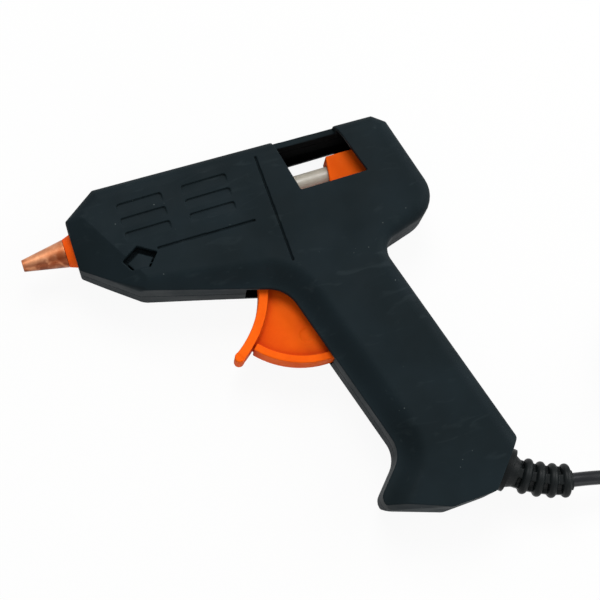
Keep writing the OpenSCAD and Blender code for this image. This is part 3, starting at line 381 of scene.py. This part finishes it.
@dataclass(frozen=True)
class TurnedFinish(Finish):
    """A turned or drawn metal, which may take painted shade below.

    The real marks are too fine to show, so they are drawn as broad, faint rings.
    """

    axis: Axis = Axis.X
    ring_mm: float = 4.4573
    # Colour of the painted shade on the underside
    underside_shade: str = "#5E2410"
    underside_shade_amount: float = 0.0
    shade_patch_mm: float = 6.0
    shade_patch_least: float = 0.4

    def colours(self, tree: Tree, place: Socket) -> Socket:
        """Paints a patchy brown shade on the underside.

        Args:
            tree: the material's node tree.
            place: the surface point in metres.

        Returns:
            The colour's output socket.
        """
        # Painted shade: faces that look down are browned in patches
        facing = add(tree, SPLIT, {"Vector": add(tree, GEOMETRY).outputs["Normal"]})
        under = add(tree, RANGE, {VALUE: facing.outputs[ALONG_Y], **UNDERSIDE,
                                  TO_HIGH: self.underside_shade_amount})
        patch_noise = add(tree, NOISE, {"Vector": place, "Scale": per_mm(self.shade_patch_mm), "Detail": 4.0,
                                 "Distortion": 1.5})
        patchy = add(tree, RANGE, {VALUE: patch_noise.outputs[0], **SHADE_PATCHES, TO_LOW: self.shade_patch_least})
        underside_shade_mask = add(tree, MATH, {0: under.outputs[0], 1: patchy.outputs[0]}, operation="MULTIPLY")
        shaded_underside = add(tree, MIX, {MIX_FACTOR: underside_shade_mask.outputs[0], MIX_A: super().colours(tree, place),
                                  MIX_B: linear(self.underside_shade)}, data_type="RGBA")
        return shaded_underside.outputs[MIX_RESULT]

    def relief(self, tree: Tree, place: Socket) -> Socket:
        """Raises the rings.

        Args:
            tree: the material's node tree.
            place: the surface point in metres.

        Returns:
            The normal's output socket.
        """
        rings = add(tree, WAVE, {"Vector": place, "Scale": per_mm(self.ring_mm) * WAVE_BAND,
                                 "Distortion": 0.6, "Detail": 2.0}, bands_direction=self.axis.value)
        bump = add(tree, BUMP, {"Strength": 0.25, "Distance": self.grain_depth_mm * MM,
                                "Height": rings.outputs[1]})
        return bump.outputs[0]


# Most real grain here is 0.05 to 0.2 mm, too fine to show in the render, so it is drawn coarser

# Dark ABS with a spark-eroded mould skin: dull slate that goes pale at handled edges, with painted black
# shade inside
CASING_ABS = ScuffedFinish(
    "abs_spark_eroded_slate", colour="#151E22", shade="#11191C", worn="#465153", roughness=0.6,
    mottle_mm=22, grain_mm=0.55, grain_depth_mm=0.02, wear=0.12, groove_dirt_and_shade=0.9,
    sockets={"IOR": 1.54, "Specular IOR Level": 0.04})
# Orange ABS from a polished mould: bright on its rims, with painted shade deeper between them, with barely
# any grain
ORANGE_ABS = HollowShadedFinish(
    "abs_polished_orange", colour="#E85E0E", shade="#DE540A", worn="#F58A4A", roughness=0.6,
    mottle_mm=9, grain_mm=1.2, grain_depth_mm=0.012, wear=0.15, groove_dirt_and_shade=0.25,
    sockets={"IOR": 1.54, "Specular IOR Level": 0.03, "Subsurface Weight": 0.1,
             "Subsurface Scale": 0.001, "Subsurface Radius": (1.0, 0.35, 0.1)})
# Silicone rubber, cast: bright dull orange with a dry skin
COLLAR_SILICONE = Finish(
    "silicone_cast_orange", colour="#F25C0C", shade="#E04E0A", worn="#F08A58", roughness=0.6,
    mottle_mm=5, grain_mm=0.8, sockets={"IOR": 1.41, "Specular IOR Level": 0.1})
# Copper alloy, lathe-turned: warm pink metal with faint rings and patchy painted brown shade below
NOZZLE_COPPER = TurnedFinish(
    "copper_alloy_turned", colour="#D99A72", shade="#A65F3A", worn="#E6B592", roughness=0.42,
    rough_spread=0.07, mottle_mm=5, grain_depth_mm=0.012, wear=0.4, underside_shade_amount=0.85,
    sockets={"Metallic": 1.0})
# Aluminium, die-cast: pale grey and slightly gritty
CHAMBER_ALUMINIUM = Finish(
    "aluminium_die_cast", colour="#B9BCBE", shade="#A3A6A8", worn="#D8DADB", roughness=0.42,
    mottle_mm=6, grain_mm=0.5, sockets={"Metallic": 1.0})
# Barium titanate ceramic, pressed and fired: chalky dark grey
HEATER_CERAMIC = Finish(
    "ceramic_pressed_grey", colour="#6A6764", shade="#5C5956", worn="#8C8986", roughness=0.75,
    mottle_mm=4, grain_mm=0.3, sockets={"IOR": 1.7})
# Steel, zinc plated: bright blue-grey with cloudy patches
PLATED_STEEL = Finish(
    "steel_zinc_plated", colour="#C3C6CA", shade="#A9ADB3", worn="#E2E4E6", roughness=0.3,
    mottle_mm=2.5, grain_mm=0.3, grain_depth_mm=0.006, sockets={"Metallic": 1.0})
# Polyimide film, wound: clear amber gloss
HEATER_FILM = Finish(
    "polyimide_film_amber", colour="#B06A18", shade="#9A5910", worn="#D09A50", roughness=0.22,
    mottle_mm=6, grain_mm=1.5, sockets={"IOR": 1.7})
# Silicone rubber, extruded: milky translucent sleeve
SLEEVE_SILICONE = Finish(
    "silicone_extruded_milky", colour="#D9D6CC", shade="#C9C6BC", worn="#EBE9E2", roughness=0.5,
    mottle_mm=5, grain_mm=0.8,
    sockets={"IOR": 1.41, "Subsurface Weight": 0.3, "Subsurface Scale": 0.002})
# EVA hot melt, extruded: cloudy greyish-white wax that lets light glow through
HOT_MELT = Finish(
    "eva_hot_melt_extruded", colour="#B4AEA1", shade="#A49E91", worn="#D8D4CA", roughness=0.36,
    mottle_mm=5, grain_mm=1.4, grain_depth_mm=0.02, wear=0.1,
    sockets={"IOR": 1.48, "Transmission Weight": 0.12, "Subsurface Weight": 0.25,
             "Subsurface Scale": 0.002, "Subsurface Radius": (1.0, 0.95, 0.85)})
# Nylon, moulded: dark grey and faintly waxy
CLAMP_NYLON = Finish(
    "nylon_moulded_grey", colour="#3A3D3F", shade="#313436", worn="#5A5E60", roughness=0.5,
    sockets={"IOR": 1.53})
# Soft PVC, moulded: black rubbery skin with broad dull highlights
RELIEF_PVC = Finish(
    "pvc_moulded_black", colour="#101415", shade="#0C0F10", worn="#3C4240", roughness=0.45,
    mottle_mm=6, grain_mm=0.7, grain_depth_mm=0.025, wear=0.25, groove_dirt_and_shade=0.7,
    sockets={"IOR": 1.53, "Specular IOR Level": 0.1})
# Soft PVC, extruded: smooth black sheath with a long soft highlight
CORD_PVC = Finish(
    "pvc_extruded_black", colour="#121519", shade="#0F1114", worn="#3C3F44", roughness=0.33,
    mottle_mm=9, grain_mm=1.6, grain_depth_mm=0.02, wear=0.0,
    sockets={"IOR": 1.53, "Specular IOR Level": 0.2})
# Silicone wire insulation, extruded: brick red with a soft shine
WIRE_SILICONE = Finish(
    "silicone_wire_red", colour="#8A3B28", shade="#793222", worn="#A6604C", roughness=0.5,
    sockets={"IOR": 1.41})
# Polythene tie, moulded: dark grey strap
TIE_POLYTHENE = Finish(
    "polythene_moulded_grey", colour="#303336", shade="#27292C", worn="#55595C", roughness=0.45,
    sockets={"IOR": 1.51, "Specular IOR Level": 0.2})
# PVC plug body, moulded: satin black with rubbed corners
PLUG_PVC = Finish(
    "pvc_plug_moulded_black", colour="#181B1E", shade="#131517", worn="#4A4E50", roughness=0.48,
    mottle_mm=10, wear=0.3, sockets={"IOR": 1.53, "Specular IOR Level": 0.15})
# Brass, drawn and nickel-flashed: yellow-white pins with faint draw marks
PIN_BRASS = TurnedFinish(
    "brass_drawn_plated", colour="#CFC6A8", shade="#BDB391", worn="#E8E2CC", roughness=0.25,
    mottle_mm=4, grain_depth_mm=0.008, axis=Axis.Y, sockets={"Metallic": 1.0})


@dataclass(frozen=True)
class Softening:
    """How a piece's sharp modelled edges are rounded, as a mould or tumbling leaves them."""

    voxel_mm: float
    passes: int
    keep: float
    pull: float = 0.5


@dataclass
class Assembly:
    """Some of the gun's pieces, with what dresses them."""

    def dress(self, name: str, finish: Finish, softening: Softening | None = None) -> bpy.types.Object:
        """Gives one solid its finish, and rounds its edges.

        Args:
            name: the solid's name in the frame.
            finish: the finish that it takes.
            softening: how its edges are rounded, or None to keep them.

        Returns:
            The solid's object.
        """
        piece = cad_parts[name]
        if not piece.material_slots:
            piece.data.materials.append(None)
        for slot in piece.material_slots:
            slot.material = finish.material()
        if softening:
            skin = piece.modifiers.new("closed_skin", "REMESH")
            skin.mode = "VOXEL"
            skin.voxel_size = softening.voxel_mm * MM
            skin.use_smooth_shade = True
            rounded = piece.modifiers.new("rounded_edges", "SMOOTH")
            rounded.factor = softening.pull
            rounded.iterations = softening.passes
            lighter = piece.modifiers.new("lighter_mesh", "DECIMATE")
            lighter.ratio = softening.keep
        LOG.info("dressed %s in %s", name, finish.name)
        return piece

    def tube(self, name: str, paths: list[list[Vector]], radius_mm: float, finish: Finish,
             as_mesh: bool = False) -> bpy.types.Object:
        """Makes a round piece along one or more smooth lines.

        Args:
            name: the piece's name.
            paths: the points that each line passes through, in millimetres.
            radius_mm: the piece's radius.
            finish: the finish that it takes.
            as_mesh: whether the piece is a mesh, which can be squashed, and not a curve.

        Returns:
            The new object.
        """
        curve = bpy.data.curves.new(name, "CURVE")
        curve.dimensions = "3D"
        curve.bevel_depth = radius_mm * MM
        curve.bevel_resolution = TUBE_SIDES
        curve.resolution_u = TUBE_STEPS
        curve.use_fill_caps = True
        for path in paths:
            line = curve.splines.new("BEZIER")
            line.bezier_points.add(len(path) - 1)
            for point, at in zip(line.bezier_points, path):
                point.co = at * MM
                point.handle_left_type = point.handle_right_type = "AUTO"
        curve.materials.append(finish.material())
        piece = bpy.data.objects.new(name, curve)
        if as_mesh:
            skin = bpy.data.meshes.new_from_object(piece)
            bpy.data.objects.remove(piece)
            skin.shade_smooth()
            piece = bpy.data.objects.new(name, skin)
        bpy.context.scene.collection.objects.link(piece)
        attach(piece, CASING_BODY)
        LOG.info("made %s in %s", name, finish.name)
        return piece


@dataclass
class PowerLead(Assembly):
    """The mains lead: a run on the table, a tied coil and the plug. Points and sizes in millimetres."""

    diameter: float = 5.0
    length: float = 1260.0
    out: Point = (69.408, -129.187, 13.5)
    out_deg: float = -11.5
    run: tuple[Point, ...] = (
        (78, -131, 13.2), (86, -132.8, 11.4), (94, -134.6, 8.6), (102, -136.4, 5.6),
        (110, -138.2, 3.4), (118, -140.1, 2.6))
    coil_centre: tuple[float, float] = (137.4, -105.6)
    coil_start_deg: float = -100.5
    coil_sweep_deg: float = 2260.5
    coil_climb_deg: float = 180.0
    coil_inner: float = 20.5
    coil_pitch: float = 5.5
    coil_steps: int = 24
    tail: tuple[tuple[float, float], ...] = (
        (-95.6, 8.0), (-92, 7.8), (-84, 7.4), (-76, 7.0), (-71, 6.85), (-66, 6.85))
    plug_edge: Softening = Softening(voxel_mm=0.3, passes=8, keep=0.5)
    pin_edge: Softening = Softening(voxel_mm=0.15, passes=5, keep=0.5)
    tie_edge: Softening = Softening(voxel_mm=0.2, passes=4, keep=0.6)

    def coil_point(self, turned: float) -> Vector:
        """Gives a point of the coil, which winds in on the table and out again on top.

        Args:
            turned: the angle from the coil's start, in degrees.

        Returns:
            The point, in millimetres.
        """
        past_middle = turned - self.coil_sweep_deg / 2
        radius = self.coil_inner + self.coil_pitch * abs(past_middle) / 360
        climb = min(max(past_middle / self.coil_climb_deg + 0.5, 0), 1)
        angle = math.radians(self.coil_start_deg + turned)
        return Vector((self.coil_centre[0] + radius * math.cos(angle),
                       self.coil_centre[1] + radius * math.sin(angle),
                       self.diameter / 2 + self.coil_pitch * climb))

    def route(self) -> list[Vector]:
        """Gives the lead's whole route, from the strain relief to the plug."""
        heading = math.radians(self.out_deg)
        ahead = Vector((math.cos(heading), math.sin(heading), 0)) * self.diameter
        steps = math.ceil(self.coil_sweep_deg / 360 * self.coil_steps)
        coil = [self.coil_point(self.coil_sweep_deg * k / steps) for k in range(steps + 1)]
        turn = math.radians(self.coil_start_deg + 90)
        into = Vector((math.cos(turn), math.sin(turn), 0)) * self.diameter
        end = coil[-1] + Vector((0, self.diameter, 0))
        tail = [Vector((end.x, y, z)) for y, z in self.tail]
        return [Vector(self.out), Vector(self.out) + ahead, *map(Vector, self.run),
                coil[0] - 2 * into, coil[0] - into, *coil, end, *tail]

    def build(self) -> None:
        """Makes the lead on its route and dresses what is on it."""
        lead = self.tube("mains_lead", [self.route()], self.diameter / 2, CORD_PVC)
        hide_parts("power_cord", "cord_coil", "plug_lead")
        on_it = [self.dress("plug_body", PLUG_PVC, self.plug_edge),
                 self.dress("plug_pins", PIN_BRASS, self.pin_edge),
                 self.dress("cord_tie", TIE_POLYTHENE, self.tie_edge)]


@dataclass
class Casing(Assembly):
    """The two shells and the screws that hold them."""

    edge: Softening = Softening(voxel_mm=0.25, passes=4, keep=0.35)

    def build(self) -> None:
        """Dresses the shells and screws."""
        for name in ("left_shell", "right_shell"):
            self.dress(name, CASING_ABS, self.edge)
        self.dress("housing_screws", PLATED_STEEL)


@dataclass
class HotEnd(Assembly):
    """The nozzle, its collar, and the heated chamber behind them."""

    nozzle_edge: Softening = Softening(voxel_mm=0.15, passes=4, keep=0.6)
    collar_edge: Softening = Softening(voxel_mm=0.2, passes=5, keep=0.6)

    def build(self) -> None:
        """Dresses the nozzle, the collar and the heated pieces."""
        self.dress("nozzle", NOZZLE_COPPER, self.nozzle_edge)
        self.dress("nozzle_collar", COLLAR_SILICONE, self.collar_edge)
        self.dress("melt_chamber", CHAMBER_ALUMINIUM)
        self.dress("ptc_heater", HEATER_CERAMIC)
        self.dress("heater_electrodes", PLATED_STEEL)
        self.dress("heater_film", HEATER_FILM)


@dataclass
class FeedDrive(Assembly):
    """What pushes the stick: the trigger, the carriage, its washer and spring, and the inlet sleeve.

    Sizes in millimetres.
    """

    spring_turns: int = 9
    spring_steps: int = 16
    wire_radius: float = 0.4
    carriage_travel: float = 8.3
    trigger_edge: Softening = Softening(voxel_mm=0.25, passes=8, keep=0.5)
    carriage_edge: Softening = Softening(voxel_mm=0.22, passes=7, keep=0.5)
    soft_edge: Softening = Softening(voxel_mm=0.2, passes=4, keep=0.5)

    def wind_spring(self) -> None:
        """Winds the return spring at its resting length; the real spring shortens as the carriage comes
        forward.
        """
        low, high = (Vector(corner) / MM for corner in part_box("return_spring"))
        middle = (low + high) / 2
        radius = (high.y - low.y) / 2 - self.wire_radius
        first, last = low.x + self.wire_radius, high.x - self.wire_radius
        count = self.spring_turns * self.spring_steps
        coil = [Vector((first + (last - first) * k / count,
                        middle.y + radius * math.cos(math.tau * k / self.spring_steps),
                        middle.z + radius * math.sin(math.tau * k / self.spring_steps)))
                for k in range(count + 1)]
        spring = self.tube("coil_spring", [coil], self.wire_radius, PLATED_STEEL, as_mesh=True)
        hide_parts("return_spring")
        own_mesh(spring)

    def build(self) -> None:
        """Dresses the moving pieces and the sleeve that the stick goes into."""
        self.dress("trigger", ORANGE_ABS, self.trigger_edge)
        self.dress("feed_carriage", ORANGE_ABS, self.carriage_edge)
        self.dress("glue_stick", HOT_MELT, self.soft_edge)
        self.dress("grip_washer", PLATED_STEEL)
        self.wind_spring()
        self.dress("inlet_sleeve", SLEEVE_SILICONE, self.soft_edge)
        self.dress("sleeve_clip", PLATED_STEEL)


@dataclass
class CordEntry(Assembly):
    """The strain relief, the cord clamp and the wiring inside the grip. Points in millimetres."""

    sheath: tuple[Point, ...] = (
        (43.133, -114.328, 13.5), (35.856, -108.222, 13.5), (28.578, -102.115, 13.5))
    wire_ends: tuple[Point, ...] = ((-21, -9.75, 9.6), (-23, -9.75, 9.8))
    wire_route: tuple[Point, ...] = (
        (25, -97, 9), (23, -90, 4.5), (19, -78, 3.4), (15, -65, 3.4), (11.5, -52, 3.4),
        (10, -42, 3.4), (9, -32, 3.4), (5, -23, 3.4), (-3, -18.5, 3.4), (-11, -15.5, 4.2),
        (-18, -12, 8))
    wire_radius: float = 0.9
    wire_gap: float = 1.25
    wire_out: float = 2.0
    wire_drop: float = 0.4
    plate_gap: float = 1.35
    sheath_radius: float = 2.5
    relief_edge: Softening = Softening(voxel_mm=0.2, passes=5, keep=0.5)

    def wire(self, side: int) -> list[Vector]:
        """Gives the route of one wire from the sheath's end to its crimp.

        Args:
            side: 1 or -1, the wire's side of the pair.

        Returns:
            The points, in millimetres.
        """
        end = Vector(self.sheath[-1])
        along = (end - Vector(self.sheath[0])).normalized()
        across = Vector((-along.y, along.x, 0))
        start = end + across * side * self.wire_gap
        points = [start, start + self.wire_out * along - Vector((0, 0, self.wire_drop))]
        middle = [Vector(p) for p in self.wire_route]
        for k, at in enumerate(middle):
            run = middle[min(k + 1, len(middle) - 1)] - middle[max(k - 1, 0)]
            beside = Vector((-run.y, run.x, 0)).normalized()
            points.append(at + beside * side * self.wire_gap)
        return points + [Vector(p) - Vector((0, side * self.plate_gap, 0)) for p in self.wire_ends]

    def build(self) -> None:
        """Dresses the relief and clamp, and makes the sheath and wires inside."""
        self.dress("strain_relief", RELIEF_PVC, self.relief_edge)
        self.dress("cord_clamp", CLAMP_NYLON)
        self.dress("clamp_screws", PLATED_STEEL)
        self.dress("wire_crimps", PLATED_STEEL)
        middle_line = [Vector(p) for p in self.sheath]
        sheath = self.tube("inner_sheath", [middle_line], self.sheath_radius, CORD_PVC)
        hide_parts("inner_cord")
        pair = [self.wire(1), self.wire(-1)]
        wires = self.tube("heater_wires", pair, self.wire_radius, WIRE_SILICONE)
        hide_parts("lead_wires")


@dataclass(frozen=True)
class Lamp:
    """A soft box. Places in metres, and it looks at the gun."""

    name: str
    place: Point
    size: float
    watts: float

    def build(self, target: Vector) -> None:
        """Hangs the lamp.

        Args:
            target: the point that it faces.
        """
        data = bpy.data.lights.new(self.name, "AREA")
        data.shape = "SQUARE"
        data.size = self.size
        data.energy = self.watts
        lamp = bpy.data.objects.new(self.name, data)
        lamp.location = self.place
        lamp.rotation_euler = (target - Vector(self.place)).to_track_quat("-Z", "Y").to_euler()
        bpy.context.scene.collection.objects.link(lamp)


@dataclass
class Studio:
    """The camera, the pale table and the soft light."""

    target_mm: Point = (-2.0, -40.1, 13.5)
    azimuth_deg: float = -36.79
    elevation_deg: float = 78.04
    roll_deg: float = 19.3
    distance_mm: float = 613.3
    lens_mm: float = 104.24
    sensor_mm: float = 36.0
    floor_size: float = 6.0
    floor_colour: str = "#D8D8D6"
    floor_roughness: float = 0.9
    floor_glow: float = 1.0
    floor_share: float = 0.93
    sky_colour: str = "#FEFEFE"
    sky_light: float = 0.42
    sky_glow: float = 1.0
    lamps: tuple[Lamp, ...] = (
        Lamp("key_lamp", place=(0.1, 0.65, 1.1), size=0.6, watts=12.0),
        Lamp("fill_lamp", place=(1.1, 0.0, 0.6), size=0.8, watts=11.0),
        Lamp("low_lamp", place=(0.0, -1.3, 0.3), size=0.9, watts=4.0))

    def build_camera(self) -> None:
        """Sets up the camera at the viewing angle."""
        target = Vector(self.target_mm) * MM
        a, e = math.radians(self.azimuth_deg), math.radians(self.elevation_deg)
        back = Vector((math.sin(a) * math.cos(e), -math.cos(a) * math.cos(e), math.sin(e)))
        data = bpy.data.cameras.new("camera")
        data.lens = self.lens_mm
        data.sensor_width = self.sensor_mm
        camera = bpy.data.objects.new("camera", data)
        camera.location = target + back * self.distance_mm * MM
        level = (-back).to_track_quat("-Z", "Y")
        rolled = level @ Quaternion((0, 0, 1), math.radians(self.roll_deg))
        camera.rotation_euler = rolled.to_euler()
        bpy.context.scene.collection.objects.link(camera)
        bpy.context.scene.camera = camera

    def white_rays(self, tree: Tree) -> Socket:
        """Picks out the rays that see the surroundings as white: camera, mirrored and passed on.

        Args:
            tree: the node tree that takes the nodes.

        Returns:
            An output that is 1 for such a ray and 0 for others.
        """
        ray = add(tree, "ShaderNodeLightPath")
        seen = add(tree, MATH, {0: ray.outputs["Is Camera Ray"], 1: ray.outputs["Is Glossy Ray"]},
                   operation="MAXIMUM")
        through = add(tree, MATH, {0: seen.outputs[0], 1: ray.outputs["Is Transmission Ray"]},
                      operation="MAXIMUM")
        return through.outputs[0]

    def build_floor(self) -> None:
        """Lays the table, which glows white to the camera and still takes the shadow."""
        half = self.floor_size / 2
        mesh = bpy.data.meshes.new("table")
        mesh.from_pydata([(-half, -half, 0), (half, -half, 0), (half, half, 0), (-half, half, 0)], [],
                         [(0, 1, 2, 3)])
        paint = bpy.data.materials.new("table_paint_matt_white")
        paint.use_nodes = True
        tree = paint.node_tree
        shader = tree.nodes["Principled BSDF"]
        shader.inputs["Base Color"].default_value = linear(self.floor_colour)
        shader.inputs["Roughness"].default_value = self.floor_roughness
        shader.inputs["Specular IOR Level"].default_value = 0.0
        glow = add(tree, "ShaderNodeEmission", {"Color": (1, 1, 1, 1), "Strength": self.floor_glow})
        share = add(tree, MATH, {0: self.white_rays(tree), 1: self.floor_share}, operation="MULTIPLY")
        mixed = add(tree, "ShaderNodeMixShader", {0: share.outputs[0], 1: shader.outputs[0],
                                                  2: glow.outputs[0]})
        tree.links.new(mixed.outputs[0], tree.nodes["Material Output"].inputs["Surface"])
        mesh.materials.append(paint)
        table = bpy.data.objects.new("table", mesh)
        bpy.context.scene.collection.objects.link(table)

    def build_light(self) -> None:
        """Hangs the lamps and sets the room's own light."""
        for lamp in self.lamps:
            lamp.build(Vector(self.target_mm) * MM)
        world = bpy.data.worlds.new("room")
        world.use_nodes = True
        tree = world.node_tree
        ground = tree.nodes["Background"]
        ground.inputs["Color"].default_value = linear(self.sky_colour)
        level = add(tree, RANGE, {VALUE: self.white_rays(tree), TO_LOW: self.sky_light,
                                  TO_HIGH: self.sky_glow})
        tree.links.new(level.outputs[0], ground.inputs["Strength"])
        bpy.context.scene.world = world
        bpy.context.scene.view_settings.view_transform = "Standard"


def main() -> None:
    """Builds the studio and the gun's assemblies in order."""
    logging.basicConfig(level=logging.INFO, format="%(message)s")
    studio = Studio()
    studio.build_camera()
    for assembly in (PowerLead(), Casing(), HotEnd(), FeedDrive(), CordEntry()):
        assembly.build()
    studio.build_floor()
    studio.build_light()


if __name__ == "__main__":
    main()
